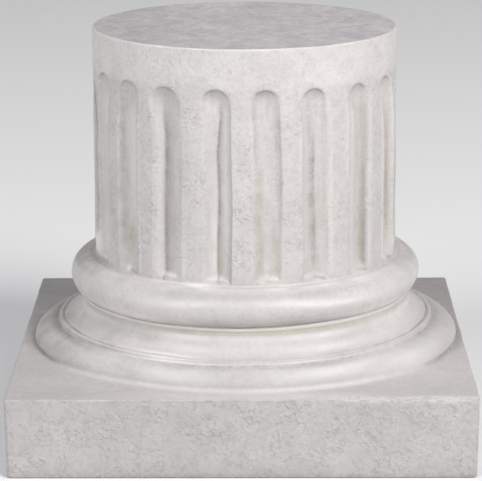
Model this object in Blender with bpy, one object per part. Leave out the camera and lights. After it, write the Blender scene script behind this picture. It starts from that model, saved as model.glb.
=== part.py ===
"""Pedestal: the foot and the lowest drum of a fluted column on a square plinth,
cast in one piece.

Metres, +Z up, origin at the centre of the underside, the front looks along -Y.
The column part is built as rings of points from the top down: rounded rim,
plain band, nineteen flutes with round heads and sloping stops, upper torus,
ledge and fillet, scotia, fillet ring, lower quarter-round.  The rings run on
into the plinth, a box with softened edges, and a union makes one body of the
two.
"""
import bpy
import bmesh
from math import cos, hypot, pi, radians, sin

# ------------------------------------------------------------------ sizes
TOTAL_HEIGHT = 0.3050

PLINTH_SIDE = 0.3440
PLINTH_HEIGHT = 0.0597
PLINTH_EDGE = 0.0015          # softened edges of the box

RIM_RADIUS = 0.0012           # rounding round the top disc
SHAFT_TOP_RADIUS = 0.1165
SHAFT_FOOT_RADIUS = 0.1175    # the drum widens very slightly downwards
SHAFT_FOOT_Z = 0.1293

FLUTE_COUNT = 19
FLUTE_HALF_ANGLE = radians(5.3)
FLUTE_DEPTH = 0.0056
FLUTE_HEAD_Z = 0.2738         # crown of the round head
FLUTE_FOOT_Z = 0.1300         # lower edge of the sloping stop
FLUTE_STOP_SLOPE = 1.0        # rise over depth of the stop
FLUTE_FULLNESS = 0.70         # exponent of the hollow: 0.5 is a half ellipse

UPPER_TORUS_RADIUS = 0.1208   # centre of the round section
UPPER_TORUS_Z = 0.1132
UPPER_TORUS_SECTION = 0.0147

LEDGE_RADIUS = 0.1278         # narrow ledge and fillet under the torus
LEDGE_Z = 0.0990
FILLET_FOOT_Z = 0.0945

SCOTIA_LIP_RADIUS = 0.1412
SCOTIA_LIP_Z = 0.0797

RING_RADIUS = 0.1455          # fillet ring between scotia and quarter-round
RING_Z = 0.0777
RING_DROP = 0.0027

ROUND_RADIUS = 0.1651         # widest ring of the lower quarter-round
ROUND_Z = 0.0620
ROUND_FOOT_RADIUS = 0.1635

STUMP_Z = 0.0400              # the rings run this far down inside the plinth

# --------------------------------------------------------------- sectors
PITCH = 2.0 * pi / FLUTE_COUNT
FLUTE_STEPS = 6               # facets across one flute


def ellipse(cx, cz, a, b, t0, t1, n, skip_first=False):
    """(radius, height) points on an ellipse, angles in degrees from +R."""
    pts = []
    for i in range(1 if skip_first else 0, n + 1):
        t = radians(t0 + (t1 - t0) * i / n)
        pts.append((cx + a * cos(t), cz + b * sin(t)))
    return pts


def shaft_radius(z):
    """Radius of the uncut drum at height z."""
    f = (z - SHAFT_FOOT_Z) / (TOTAL_HEIGHT - SHAFT_FOOT_Z)
    return SHAFT_FOOT_RADIUS + (SHAFT_TOP_RADIUS - SHAFT_FOOT_RADIUS) * f


def hollow(u):
    """Depth of a flute at u across it, -1 at one arris to 1 at the other."""
    return FLUTE_DEPTH * max(0.0, 1.0 - u * u) ** FLUTE_FULLNESS


def flute_centre(k):
    """Azimuth of flute k from the front, so that a land faces the front."""
    return (k + 0.5) * PITCH


def at(azimuth, radius, z):
    """Point at an azimuth counted from -Y towards +X."""
    return (radius * sin(azimuth), -radius * cos(azimuth), z)


def foot_profile():
    """Outline from the foot of the drum down to the end of the stump."""
    rc, zc, s = UPPER_TORUS_RADIUS, UPPER_TORUS_Z, UPPER_TORUS_SECTION
    pts = [(SHAFT_FOOT_RADIUS, SHAFT_FOOT_Z),
           (SHAFT_FOOT_RADIUS + 0.0009, zc + s + 0.0003)]
    pts += ellipse(rc, zc, s, s, 90, -72, 9)
    pts += [(LEDGE_RADIUS - 0.0014, LEDGE_Z), (LEDGE_RADIUS, LEDGE_Z - 0.0003),
            (LEDGE_RADIUS, FILLET_FOOT_Z)]
    # scotia: a hollow quarter from under the fillet out to its lip
    a = SCOTIA_LIP_RADIUS - LEDGE_RADIUS
    b = FILLET_FOOT_Z - SCOTIA_LIP_Z
    pts += ellipse(SCOTIA_LIP_RADIUS, FILLET_FOOT_Z, a, b, 180, 270, 5, True)
    pts += [(RING_RADIUS, RING_Z), (RING_RADIUS + 0.0001, RING_Z - RING_DROP)]
    # lower quarter-round, then its foot turning in
    a = ROUND_RADIUS - RING_RADIUS
    b = RING_Z - RING_DROP - ROUND_Z
    pts += ellipse(RING_RADIUS, ROUND_Z, a, b, 90, 0, 6, True)
    pts += [(ROUND_FOOT_RADIUS, PLINTH_HEIGHT), (ROUND_FOOT_RADIUS, STUMP_Z)]
    return pts


def plain_azimuths(k):
    """Four points of a plain ring in sector k."""
    c = flute_centre(k)
    return [c - FLUTE_HALF_ANGLE, c, c + FLUTE_HALF_ANGLE, c + PITCH / 2]


def build_column():
    bm = bmesh.new()

    def plain_ring(radius, z):
        return [[bm.verts.new(at(a, radius, z)) for a in plain_azimuths(k)]
                for k in range(FLUTE_COUNT)]

    def bridge_plain(upper, lower):
        top = [v for sector in upper for v in sector]
        low = [v for sector in lower for v in sector]
        n = len(top)
        for i in range(n):
            j = (i + 1) % n
            bm.faces.new((top[i], low[i], low[j], top[j]))

    # across one flute: even steps of the angle that sweeps the hollow
    us = [-cos(pi * i / FLUTE_STEPS) for i in range(FLUTE_STEPS + 1)]

    # rim and plain band
    rim = ellipse(SHAFT_TOP_RADIUS - RIM_RADIUS, TOTAL_HEIGHT - RIM_RADIUS,
                  RIM_RADIUS, RIM_RADIUS, 90, 0, 3)
    rings = [plain_ring(r, z) for r, z in rim]
    bm.faces.new([v for sector in rings[0] for v in sector])
    for a, b in zip(rings, rings[1:]):
        bridge_plain(a, b)

    # one ring at the crown of the flute heads: arris points pulled together
    half_width = FLUTE_HALF_ANGLE * shaft_radius(FLUTE_HEAD_Z)
    crown = []
    for k in range(FLUTE_COUNT):
        r = shaft_radius(FLUTE_HEAD_Z)
        crown.append([bm.verts.new(at(a, r, FLUTE_HEAD_Z))
                      for a in plain_azimuths(k)])
    bridge_plain(rings[-1], crown)

    # rows down the round head, then the straight run, then the stop
    rows = []
    for t in (0.93, 0.76, 0.52, 0.26, 0.0):
        z = FLUTE_HEAD_Z - half_width * (1.0 - t)
        narrow = (1.0 - t * t) ** 0.5
        rows.append([(z, narrow, narrow)] * (FLUTE_STEPS + 1))
    # the stop rises in step with the depth of the hollow
    rows.append([(FLUTE_FOOT_Z + hollow(u) * FLUTE_STOP_SLOPE, 1.0, 1.0)
                 for u in us])
    rows.append([(FLUTE_FOOT_Z, 1.0, 0.0)] * (FLUTE_STEPS + 1))

    cut = []
    for row in rows:
        ring = []
        for k in range(FLUTE_COUNT):
            c = flute_centre(k)
            pts = []
            for u, (z, narrow, deep) in zip(us, row):
                r = shaft_radius(z) - hollow(u) * deep
                pts.append(bm.verts.new(
                    at(c + FLUTE_HALF_ANGLE * narrow * u, r, z)))
            z = row[0][0]
            pts.append(bm.verts.new(at(c + PITCH / 2, shaft_radius(z), z)))
            ring.append(pts)
        cut.append(ring)

    # fans from the crown into the heads
    first = cut[0]
    for k in range(FLUTE_COUNT):
        left, mid, right, land = crown[k]
        last_land = crown[k - 1][3]
        low_last_land = first[k - 1][-1]
        f = first[k]
        for i in range(FLUTE_STEPS):
            bm.faces.new((mid, f[i], f[i + 1]))
        bm.faces.new((last_land, low_last_land, left))
        bm.faces.new((left, low_last_land, f[0]))
        bm.faces.new((left, f[0], mid))
        bm.faces.new((mid, f[FLUTE_STEPS], right))
        bm.faces.new((right, f[FLUTE_STEPS], f[-1]))
        bm.faces.new((right, f[-1], land))

    for upper, lower in zip(cut, cut[1:]):
        top = [v for sector in upper for v in sector]
        low = [v for sector in lower for v in sector]
        n = len(top)
        for i in range(n):
            j = (i + 1) % n
            bm.faces.new((top[i], low[i], low[j], top[j]))

    # from the lower edge of the stops to the foot of the drum
    profile = foot_profile()
    foot = plain_ring(*profile[0])
    last = cut[-1]
    half = FLUTE_STEPS // 2
    for k in range(FLUTE_COUNT):
        f = last[k]
        left, mid, right, land = foot[k]
        for i in range(half):
            bm.faces.new((left, f[i + 1], f[i]))
            bm.faces.new((right, f[FLUTE_STEPS - i], f[FLUTE_STEPS - i - 1]))
        bm.faces.new((left, mid, f[half]))
        bm.faces.new((mid, right, f[half]))
        bm.faces.new((f[FLUTE_STEPS], right, land, f[-1]))
        nxt = (k + 1) % FLUTE_COUNT
        bm.faces.new((f[-1], land, foot[nxt][0], last[nxt][0]))

    ring = foot
    for r, z in profile[1:]:
        below = plain_ring(r, z)
        bridge_plain(ring, below)
        ring = below
    bm.faces.new([v for sector in reversed(ring) for v in reversed(sector)])

    bmesh.ops.recalc_face_normals(bm, faces=bm.faces)
    mesh = bpy.data.meshes.new("pedestal")
    bm.to_mesh(mesh)
    bm.free()
    return mesh


def cast_finish():
    mat = bpy.data.materials.new("cast_stone_white")
    mat.use_nodes = True
    shader = mat.node_tree.nodes["Principled BSDF"]
    shader.inputs["Base Color"].default_value = (0.66, 0.63, 0.60, 1.0)
    shader.inputs["Roughness"].default_value = 0.62
    shader.inputs["Metallic"].default_value = 0.0
    mat.diffuse_color = (0.66, 0.63, 0.60, 1.0)
    return mat


def build_plinth():
    bm = bmesh.new()
    bmesh.ops.create_cube(bm, size=1.0)
    for v in bm.verts:
        v.co.x *= PLINTH_SIDE
        v.co.y *= PLINTH_SIDE
        v.co.z = PLINTH_HEIGHT if v.co.z > 0 else 0.0
    bmesh.ops.bevel(bm, geom=list(bm.edges), offset=PLINTH_EDGE, segments=2,
                    profile=0.5, affect='EDGES', clamp_overlap=True)
    mesh = bpy.data.meshes.new("plinth_box")
    bm.to_mesh(mesh)
    bm.free()
    return mesh


def main():
    for obj in list(bpy.data.objects):
        bpy.data.objects.remove(obj, do_unlink=True)
    coll = bpy.context.scene.collection

    pedestal = bpy.data.objects.new("pedestal", build_plinth())
    coll.objects.link(pedestal)
    pedestal.data.materials.append(cast_finish())

    # guide: the turned and fluted upper part, joined to the box by the union
    column = bpy.data.objects.new("column_guide", build_column())
    coll.objects.link(column)
    column.hide_render = True
    column.display_type = 'WIRE'

    join = pedestal.modifiers.new("join", 'BOOLEAN')
    join.operation = 'UNION'
    join.solver = 'EXACT'
    join.object = column

    pedestal.data.shade_smooth()
    pedestal.data.set_sharp_from_angle(angle=radians(28))
    column.data.shade_smooth()
    column.data.set_sharp_from_angle(angle=radians(28))


main()
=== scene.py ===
"""Looks of the column pedestal: one cast piece with hand-finished flutes and
mouldings, its brushed faux-stone finish, a pale floor, soft light and a camera.

The piece is one closed mesh made of rings of points, from the middle of the
round top down over the fluted drum, the mouldings and the plinth to the middle
of the underside.  All sizes are in metres, azimuths are counted from the front
(-Y) towards +X.
"""
from math import cos, pi, radians, sin, tan

import bpy
import numpy as np
from mathutils import Matrix, Vector


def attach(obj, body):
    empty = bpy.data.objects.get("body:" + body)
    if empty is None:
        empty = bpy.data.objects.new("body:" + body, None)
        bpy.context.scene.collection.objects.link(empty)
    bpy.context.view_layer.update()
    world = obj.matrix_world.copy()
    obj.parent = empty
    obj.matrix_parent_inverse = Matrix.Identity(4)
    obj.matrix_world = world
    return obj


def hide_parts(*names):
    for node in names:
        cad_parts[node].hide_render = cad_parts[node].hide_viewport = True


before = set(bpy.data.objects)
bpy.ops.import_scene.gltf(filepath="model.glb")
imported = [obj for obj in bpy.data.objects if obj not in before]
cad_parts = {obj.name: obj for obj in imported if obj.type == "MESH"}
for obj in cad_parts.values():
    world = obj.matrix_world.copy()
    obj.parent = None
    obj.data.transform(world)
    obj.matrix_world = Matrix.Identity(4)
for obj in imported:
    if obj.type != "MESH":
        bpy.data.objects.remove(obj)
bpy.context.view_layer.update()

# ------------------------------------------------------------------ sizes
HEIGHT = 0.3050
SIDE = 0.3440
PLINTH_TOP = 0.0597
SKIN = 0.0004                   # room kept for unevenness inside the box

COLUMN_X, COLUMN_Y = 0.0020, 0.0041   # the hand-set column is a little off centre

RIM = 0.0012
SHAFT_TOP_R = 0.1165
SHAFT_FOOT_R = 0.1175
SHAFT_FOOT_Z = 0.1290

FLUTES = 19
PITCH = 2 * pi / FLUTES
FLUTE_HALF = radians(5.3)
FLUTE_DEPTH = 0.0056
FLUTE_HEAD_Z = 0.2738
FLUTE_STOP_Z = 0.1302

TORUS_R, TORUS_Z, TORUS_S = 0.1208, 0.1132, 0.0147
LEDGE_R, LEDGE_Z = 0.1281, 0.0990
FILLET_Z = 0.0938
GROOVE_R, GROOVE_Z = 0.1412, 0.0797
RING_R, RING_Z = 0.1456, 0.0778
ROUND_R, ROUND_Z = 0.1651, 0.0620

rng = np.random.default_rng(19)


# ------------------------------------------------------------------ noise
def lattice(ix, iy, iz, seed):
    """Repeatable number from -1 to 1 for each whole-numbered point."""
    m = np.uint64(0xFFFFFFFF)
    h = (ix.astype(np.uint64) * np.uint64(374761393)
         + iy.astype(np.uint64) * np.uint64(668265263)
         + iz.astype(np.uint64) * np.uint64(2246822519)
         + np.uint64(seed * 3266489917 % 4294967296)) & m
    h = ((h ^ (h >> np.uint64(15))) * np.uint64(2654435761)) & m
    h = ((h ^ (h >> np.uint64(13))) * np.uint64(1274126177)) & m
    return ((h ^ (h >> np.uint64(16))) & np.uint64(0xFFFFFF)).astype(float) / 8388607.5 - 1.0


def noise(p, size, seed):
    """Smooth noise from about -1 to 1 over points p, size in metres or a triple."""
    q = np.asarray(p, float) / np.asarray(size, float) + 4096.0
    i = np.floor(q)
    f = q - i
    f = f * f * f * (f * (f * 6 - 15) + 10)
    i = i.astype(np.int64)
    total = 0.0
    for dx in (0, 1):
        wx = f[:, 0] if dx else 1 - f[:, 0]
        for dy in (0, 1):
            wy = f[:, 1] if dy else 1 - f[:, 1]
            for dz in (0, 1):
                wz = f[:, 2] if dz else 1 - f[:, 2]
                total = total + wx * wy * wz * lattice(
                    i[:, 0] + dx, i[:, 1] + dy, i[:, 2] + dz, seed)
    return total


def smooth(a, b, x):
    """0 before a, 1 after b, smooth between."""
    t = np.clip((x - a) / (b - a), 0.0, 1.0)
    return t * t * (3 - 2 * t)


def bump(centre, width, x):
    """A soft ridge of height 1 at centre."""
    return np.exp(-((x - centre) / width) ** 2)


# ------------------------------------------------------------ the columns
HALF_STEPS = [1.2, 2.4, 3.5, 4.3, 4.9, 5.3, 5.8, 6.6, 7.8]
steps = [-v for v in reversed(HALF_STEPS)] + [0.0] + HALF_STEPS
col_flute, col_phi = [], []
for k in range(FLUTES):
    col_flute.append(k)                  # the middle of the land before flute k
    col_phi.append(-PITCH / 2)
    for v in steps:
        col_flute.append(k)
        col_phi.append(radians(v))
col_flute = np.array(col_flute)
col_phi = np.array(col_phi)
NC = len(col_flute)
AZ = (col_flute + 0.5) * PITCH + col_phi             # regular azimuths
SIGNED = (AZ + pi) % (2 * pi) - pi

# hand-cut differences of each flute: shift of its middle and of its head in
# degrees, half width in degrees, height of the crown, place of the deepest line
SHIFT = rng.uniform(-0.7, 0.7, FLUTES)
HEAD_SHIFT = rng.uniform(-0.5, 0.5, FLUTES)
HALF = rng.uniform(5.0, 5.7, FLUTES)
CROWN = FLUTE_HEAD_Z + rng.uniform(-0.0010, 0.0010, FLUTES)
DEEP = rng.uniform(-0.22, 0.22, FLUTES)
for k, shift, head, half, crown, deep in (
        (15, 0.3, 0.7, 5.7, 0.2757, 0.10),
        (16, -0.8, 0.2, 5.5, 0.2754, -0.20),
        (17, -0.9, -0.9, 6.2, 0.2746, -0.10),
        (18, -0.4, -0.2, 5.3, 0.2749, 0.18),
        (0, -1.0, -0.6, 5.0, 0.2744, 0.05),
        (1, -1.7, -0.5, 5.0, 0.2738, -0.25),
        (2, -0.6, -0.3, 5.4, 0.2731, 0.25),
        (3, 2.4, -3.0, 5.6, 0.2727, 0.15)):
    SHIFT[k], HEAD_SHIFT[k], HALF[k], CROWN[k], DEEP[k] = shift, head, half, crown, deep
SHIFT, HEAD_SHIFT, HALF = np.radians(SHIFT), np.radians(HEAD_SHIFT), np.radians(HALF)

# sections across a hollow other than the even bowl, as (place, share of the depth):
# cut with two strokes that meet in a line, with a flat floor and a small step, shallow
MEETING = [(-1.0, 0.0), (-0.81, 0.30), (-0.45, 0.72), (-0.14, 1.0), (0.226, 0.80),
           (0.453, 0.66), (0.66, 0.52), (0.81, 0.38), (0.925, 0.24), (1.0, 0.0)]
STEPPED = [(-1.0, 0.0), (-0.81, 0.17), (-0.45, 0.50), (-0.20, 0.82), (-0.02, 1.0),
           (0.226, 0.88), (0.453, 0.78), (0.66, 0.74), (0.81, 0.72), (0.925, 0.62), (1.0, 0.0)]
SHALLOW = [(-1.0, 0.0), (-0.81, 0.42), (-0.45, 0.72), (-0.14, 0.80), (0.226, 0.78),
           (0.453, 0.70), (0.66, 0.56), (0.81, 0.40), (0.925, 0.22), (1.0, 0.0)]
ROLLED = [(-1.0, 0.0), (-0.81, 0.11), (-0.60, 0.28), (-0.45, 0.52), (-0.22, 1.0), (0.05, 0.78),
          (0.226, 0.60), (0.453, 0.38), (0.66, 0.22), (0.81, 0.12), (0.925, 0.05), (1.0, 0.0)]
FLAT = [(-1.0, 0.0), (-0.81, 0.36), (-0.45, 0.50), (-0.14, 0.54), (0.226, 0.52),
        (0.453, 0.47), (0.66, 0.38), (0.81, 0.26), (0.925, 0.13), (1.0, 0.0)]
ONE_SIDED = [(-1.0, 0.0), (-0.81, 0.13), (-0.45, 0.37), (-0.14, 0.58), (0.226, 0.82),
             (0.453, 0.96), (0.66, 1.0), (0.81, 0.82), (0.925, 0.48), (1.0, 0.0)]
SECTION = {17: (ROLLED, 1.0), 18: (STEPPED, 1.0), 16: (FLAT, 1.0), 15: (FLAT, 0.8),
           0: (SHALLOW, 0.6), 1: (SHALLOW, 0.4), 2: (ONE_SIDED, 0.9), 3: (ONE_SIDED, 0.7),
           5: (MEETING, 0.7), 7: (STEPPED, 0.8), 8: (SHALLOW, 0.7),
           10: (MEETING, 0.9), 12: (SHALLOW, 0.8), 13: (STEPPED, 0.6)}


def shaft_radius(z):
    f = (z - SHAFT_FOOT_Z) / (HEIGHT - SHAFT_FOOT_Z)
    return SHAFT_FOOT_R + (SHAFT_TOP_R - SHAFT_FOOT_R) * f


def flute_axis(k, z):
    """Azimuth of the middle of flute k at height z."""
    lift = smooth(0.235, 0.270, z)
    wave = 0.0030 * np.sin(z * 41.0 + k * 2.1) + 0.0018 * np.sin(z * 97.0 + k * 4.3)
    return (k + 0.5) * PITCH + SHIFT[k] + HEAD_SHIFT[k] * lift + wave


def shaft_row(z0):
    """One row of the drum: azimuth, radius, height, and how far in the flute."""
    z = np.full(NC, z0)
    k = col_flute
    r0 = shaft_radius(z)
    centre = flute_axis(k, z)
    half = HALF[k]
    half_mm = half * r0
    spring = CROWN[k] - half_mm              # where the round head begins
    t = np.clip((z - spring) / half_mm, 0.0, 1.0)
    narrow = np.sqrt(np.maximum(1 - t * t, 0.0))
    above = smooth(CROWN[k] - 0.0008, CROWN[k] + 0.0075, z)
    narrow = np.maximum(narrow, 0.42) * (1 - above) + above
    # columns inside the flute follow its outline, those on the land fill in
    inside = np.abs(col_phi) <= FLUTE_HALF + 1e-9
    az = centre + half * narrow * col_phi / FLUTE_HALF
    side = np.sign(col_phi)
    arris = centre + half * narrow * side
    other = (k + side.astype(int)) % FLUTES
    turn = np.where(side > 0, PITCH, -PITCH)
    next_centre = flute_axis(other, z)
    next_centre = next_centre + 2 * pi * np.round(
        (centre + turn - next_centre) / (2 * pi))
    land = 0.5 * (centre + half * side + next_centre - HALF[other] * side)
    w = np.clip((np.abs(col_phi) - FLUTE_HALF) / (PITCH / 2 - FLUTE_HALF), 0, 1)
    az = np.where(inside, az, arris * (1 - w) + land * w)
    # depth: a hollow with a round head, softened along its edge
    u = (az - centre) / half
    d = DEEP[k] * (1 - smooth(CROWN[k] - 0.03, CROWN[k] - 0.008, z))
    us = np.where(u < d, (u - d) / (1 + d), (u - d) / (1 - d))
    h = np.maximum(z - spring, 0.0) / half_mm
    q = 1 - us * us - h * h
    e = 0.11
    q = 0.5 * (q + np.sqrt(q * q + e * e))
    bowl = np.minimum(q, 1.0) ** 0.70
    depth = bowl.copy()
    ease = 1 - smooth(CROWN[k] - 0.026, CROWN[k] - 0.010, z)
    for flute, (section, share) in SECTION.items():
        cut = np.interp(np.clip(u, -1, 1), *zip(*section))
        part = share * ease * (k == flute)
        depth = depth * (1 - part) + cut * part
    depth = FLUTE_DEPTH * depth
    depth = depth * (1 - smooth(CROWN[k] + 0.001, CROWN[k] + 0.004, z))
    depth = depth * (1 - smooth(1.15, 1.6, np.abs(u)))
    # sloping stop at the foot
    foot = FLUTE_STOP_Z + 0.0006 * np.sin(3.1 * k) + 0.0005 * np.sin(az * 23)
    stop = z - foot
    stop = 0.5 * (stop + np.sqrt(stop * stop + 0.0006 ** 2))
    e = 0.0007
    depth = 0.5 * (depth + stop - np.sqrt((depth - stop) ** 2 + e * e)) \
        + 0.5 * (np.sqrt(stop * stop + e * e) - stop)
    return az, r0 - depth, z, depth / FLUTE_DEPTH, u


def arc(cx, cz, a, b, t0, t1, n):
    """(radius, height) points on an ellipse without its first point."""
    return [(cx + a * cos(radians(t0 + (t1 - t0) * i / n)),
             cz + b * sin(radians(t0 + (t1 - t0) * i / n))) for i in range(1, n + 1)]


# outline of the mouldings: (radius, height, name of the part it belongs to)
outline = []


def add(points, part):
    outline.extend((r, z, part) for r, z in points)


add([(SHAFT_FOOT_R + 0.0002, SHAFT_FOOT_Z - 0.0004),
     (SHAFT_FOOT_R + 0.0008, SHAFT_FOOT_Z - 0.0009),
     (TORUS_R - 0.0012, TORUS_Z + TORUS_S - 0.0002)], "foot")
add(arc(TORUS_R, TORUS_Z, TORUS_S, TORUS_S, 97, -66, 34), "torus")
add([(LEDGE_R - 0.0011, LEDGE_Z - 0.0002), (LEDGE_R - 0.0006, LEDGE_Z),
     (LEDGE_R - 0.0001, LEDGE_Z - 0.0002), (LEDGE_R, LEDGE_Z - 0.0008),
     (LEDGE_R - 0.0002, LEDGE_Z - 0.0021)], "ledge")
add([(LEDGE_R - 0.0008, LEDGE_Z - 0.0028), (LEDGE_R - 0.0009, LEDGE_Z - 0.0038),
     (LEDGE_R - 0.0006, FILLET_Z)], "fillet")
a = GROOVE_R - LEDGE_R + 0.0006
b = FILLET_Z - GROOVE_Z
add(arc(GROOVE_R, FILLET_Z, a, b, 180, 268, 17), "scotia")
add([(GROOVE_R + 0.0004, GROOVE_Z - 0.0004), (GROOVE_R + 0.0008, GROOVE_Z - 0.0010)],
    "groove")
add([(GROOVE_R + 0.0013, GROOVE_Z - 0.0006), (GROOVE_R + 0.0022, RING_Z + 0.0019),
     (GROOVE_R + 0.0034, RING_Z + 0.0014), (GROOVE_R + 0.0045, RING_Z + 0.0008),
     (RING_R - 0.0004, RING_Z + 0.0002), (RING_R, RING_Z - 0.0006),
     (RING_R, RING_Z - 0.0014)], "ring")
add([(RING_R + 0.0002, RING_Z - 0.0023), (RING_R + 0.0009, RING_Z - 0.0029)], "recess")
a = ROUND_R - RING_R - 0.0009
b = RING_Z - 0.0029 - ROUND_Z
add(arc(RING_R + 0.0009, ROUND_Z, a, b, 90, 4, 20), "round")
add([(ROUND_R, ROUND_Z - 0.0008), (ROUND_R - 0.0004, ROUND_Z - 0.0016),
     (ROUND_R - 0.0001, PLINTH_TOP + 0.0001)], "crease")

# at the front the crease is a soft hollow instead: (outwards, height) of its rows
CREASE_SOFT = [(0.0002, PLINTH_TOP + 0.0014), (0.0012, PLINTH_TOP + 0.0006),
               (0.0026, PLINTH_TOP + 0.0001)]
CREASE_FIRST = len(outline) - 3

outline_r = np.array([o[0] for o in outline])
outline_z = np.array([o[1] for o in outline])
outline_part = [o[2] for o in outline]

# ---------------------------------------------------------- all the rows
rows = []            # each: dict with x, y, z arrays and the marks of its place


def put(part, x, y, z, depth=0.0, u=9.0):
    one = np.ones(NC)
    rows.append({"part": part, "x": x * one, "y": y * one, "z": z * one,
                 "depth": depth * one, "u": u * one})


def put_round(part, az, r, z, depth=0.0, u=9.0):
    put(part, COLUMN_X + r * np.sin(az), COLUMN_Y - r * np.cos(az), z, depth, u)


# round top
disc_r = SHAFT_TOP_R - RIM
for f in (0.10, 0.22, 0.34, 0.46, 0.58, 0.69, 0.79, 0.88, 0.95, 0.985, 0.997):
    put_round("top", AZ, disc_r * f, HEIGHT - SKIN)
for i in range(6):
    t = radians(90 - 90 * i / 5)
    put_round("rim", AZ, disc_r + RIM * cos(t), HEIGHT - SKIN - RIM + RIM * sin(t))

levels = [HEIGHT - RIM - SKIN - 0.0007] + list(np.linspace(HEIGHT - RIM - SKIN, 0.2800, 10)[1:])
levels += list(np.linspace(0.2800, 0.2595, 25)[1:])
levels += list(np.linspace(0.2595, 0.1390, 46)[1:])
levels += list(np.linspace(0.1390, SHAFT_FOOT_Z, 13)[1:])
for z0 in levels:
    az, r, z, depth, u = shaft_row(z0)
    top_mix = smooth(0.2900, 0.2815, np.full(NC, z0))    # back to regular azimuths
    az = AZ + (az - AZ) * top_mix
    put_round("shaft", az, r, z, depth, u)

shaft_az = az
for i, (r, z, part) in enumerate(zip(outline_r, outline_z, outline_part)):
    mix = smooth(0, 8, np.float64(i))
    az = shaft_az + (AZ - shaft_az) * mix
    front = np.cos(az)
    lean = tan(radians(0.45))                      # the rings lie a little aslant
    low = smooth(0.1300, 0.1150, np.float64(z)) * smooth(0.0597, 0.0680, np.float64(z))
    dz = lean * r * np.sin(az) * low
    # the foot of the lower round runs out softly at the front
    fade = smooth(0.45, 0.95, front)
    k = smooth(RING_R + 0.002, ROUND_R, np.float64(r)) if part in ("round", "crease") else 0.0
    rr = r - 0.0072 * fade * k
    # the lip of the scotia lies a little lower in front and on the right
    signed = (az + pi) % (2 * pi) - pi
    drop = 0.0013 * smooth(-0.45, -0.05, signed) * smooth(1.3, 0.9, np.abs(signed))
    if part == "groove":
        dz = dz - drop
    if part == "ring":
        dz = dz - drop * smooth(RING_R - 0.0004, GROOVE_R + 0.0012, np.float64(r))
    if part == "scotia":
        dz = dz - drop * smooth(GROOVE_R - 0.0075, GROOVE_R - 0.0010, np.float64(r)) * smooth(
            0.0850, 0.0820, np.float64(z))
    # the grooves on both sides of the ring are filled up towards the front
    filled = smooth(0.50, 0.85, front) * (0.75 + 0.25 * np.sin(az * 9.0 + 1.0))
    if part == "torus":                            # fuller underneath at the sides
        rr = rr + 0.0012 * smooth(0.96, 0.80, front) * smooth(0.1062, 0.1000, np.float64(z))
    if part == "ledge":                            # thicker on the right
        dz = dz + 0.0009 * smooth(0.15, 0.55, np.sin(az)) * smooth(
            LEDGE_Z - 0.0010, LEDGE_Z - 0.0002, np.float64(z)) * smooth(0.1, 0.5, front)
    if part == "groove":
        rr, dz = rr + 0.0022 * filled, dz + 0.0009 * filled
    if part == "ring":
        rr = rr + 0.0022 * filled * smooth(RING_R - 0.0004, GROOVE_R + 0.0008, np.float64(r))
    if part == "recess":
        rr = rr + 0.0010 * filled
        dz = dz + 0.0005 * filled
    if part == "crease":
        out, up = CREASE_SOFT[i - CREASE_FIRST]
        soft = smooth(0.38, 0.64, front)
        rr = rr * (1 - soft) + (ROUND_R - 0.0072 * fade + out) * soft
        dz = dz * (1 - soft) + (up - z) * soft
    put_round(part, az, rr, z + dz)


# plinth: corners of a square with softened edges, taken in at each row
def square(half, corner):
    """Points round a square with rounded corners, clustered at the corners."""
    n = NC // 4
    xs, ys = np.zeros(NC), np.zeros(NC)
    edge = half - corner
    # one side: from its middle to the corner and on to the next side's middle
    for side in range(4):
        for j in range(n):
            i = (side * n + j) % NC
            g = j / n                                    # 0 middle, 0.5 corner
            c = 4.5 / n                                  # share of the arc
            if g < 0.5 - c:
                p, q = edge * g / (0.5 - c), -half
            elif g <= 0.5 + c:
                th = (g - (0.5 - c)) / (2 * c) * pi / 2
                p, q = edge + corner * sin(th), -edge - corner * cos(th)
            else:
                p, q = half, -edge * (1 - g) / (0.5 - c)
            cs, sn = [(1, 0), (0, 1), (-1, 0), (0, -1)][side]
            xs[i], ys[i] = p * cs - q * sn, p * sn + q * cs
    return xs, ys


HS = SIDE / 2 - SKIN * 0.25
EDGE = 0.0009
sx, sy = square(HS - EDGE, 0.0018)
base_x, base_y = rows[-1]["x"].copy(), rows[-1]["y"].copy()
for f in (0.06, 0.16, 0.30, 0.45, 0.60, 0.74, 0.86, 0.95, 1.0):
    z = PLINTH_TOP - SKIN * 0.5
    put("ground", base_x * (1 - f) + sx * f, base_y * (1 - f) + sy * f, z)
for i in range(1, 5):
    t = radians(90 * i / 4)
    x, y = square(HS - EDGE + EDGE * sin(t), 0.0018 + EDGE * sin(t) * 0.7)
    put("edge", x, y, PLINTH_TOP - SKIN * 0.5 - EDGE + EDGE * cos(t))
x, y = square(HS, 0.0026)
side_rows = np.linspace(PLINTH_TOP - EDGE - SKIN, 0.0014, 22)[1:]
for z in [PLINTH_TOP - EDGE - SKIN * 0.5 - v for v in (0.0003, 0.0010)] + list(side_rows):
    taper = 1 - 0.0058 * (1 - z / PLINTH_TOP)
    put("side", x * taper, y * taper, z)
x, y = x * taper, y * taper
for i in range(1, 4):
    t = radians(90 * i / 3)
    tuck = 1 - 0.0070 * (1 - cos(t))
    put("lowedge", x * tuck, y * tuck, 0.0012 - 0.0012 * sin(t))
for f in (0.92, 0.75, 0.5, 0.25):
    put("under", x * f * 0.993, y * f * 0.993, 0.0)

NR = len(rows)
P = np.zeros((NR, NC, 3))
for i, row in enumerate(rows):
    P[i, :, 0], P[i, :, 1], P[i, :, 2] = row["x"], row["y"], row["z"]
part_of = np.array([row["part"] for row in rows])
DEPTH = np.array([row["depth"] for row in rows])
U = np.array([row["u"] for row in rows])
KF = np.tile(col_flute, (NR, 1))
AZG = np.tile(SIGNED, (NR, 1))


def mask(*names):
    m = np.isin(part_of, names).astype(float)
    return np.repeat(m[:, None], NC, axis=1)


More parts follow.
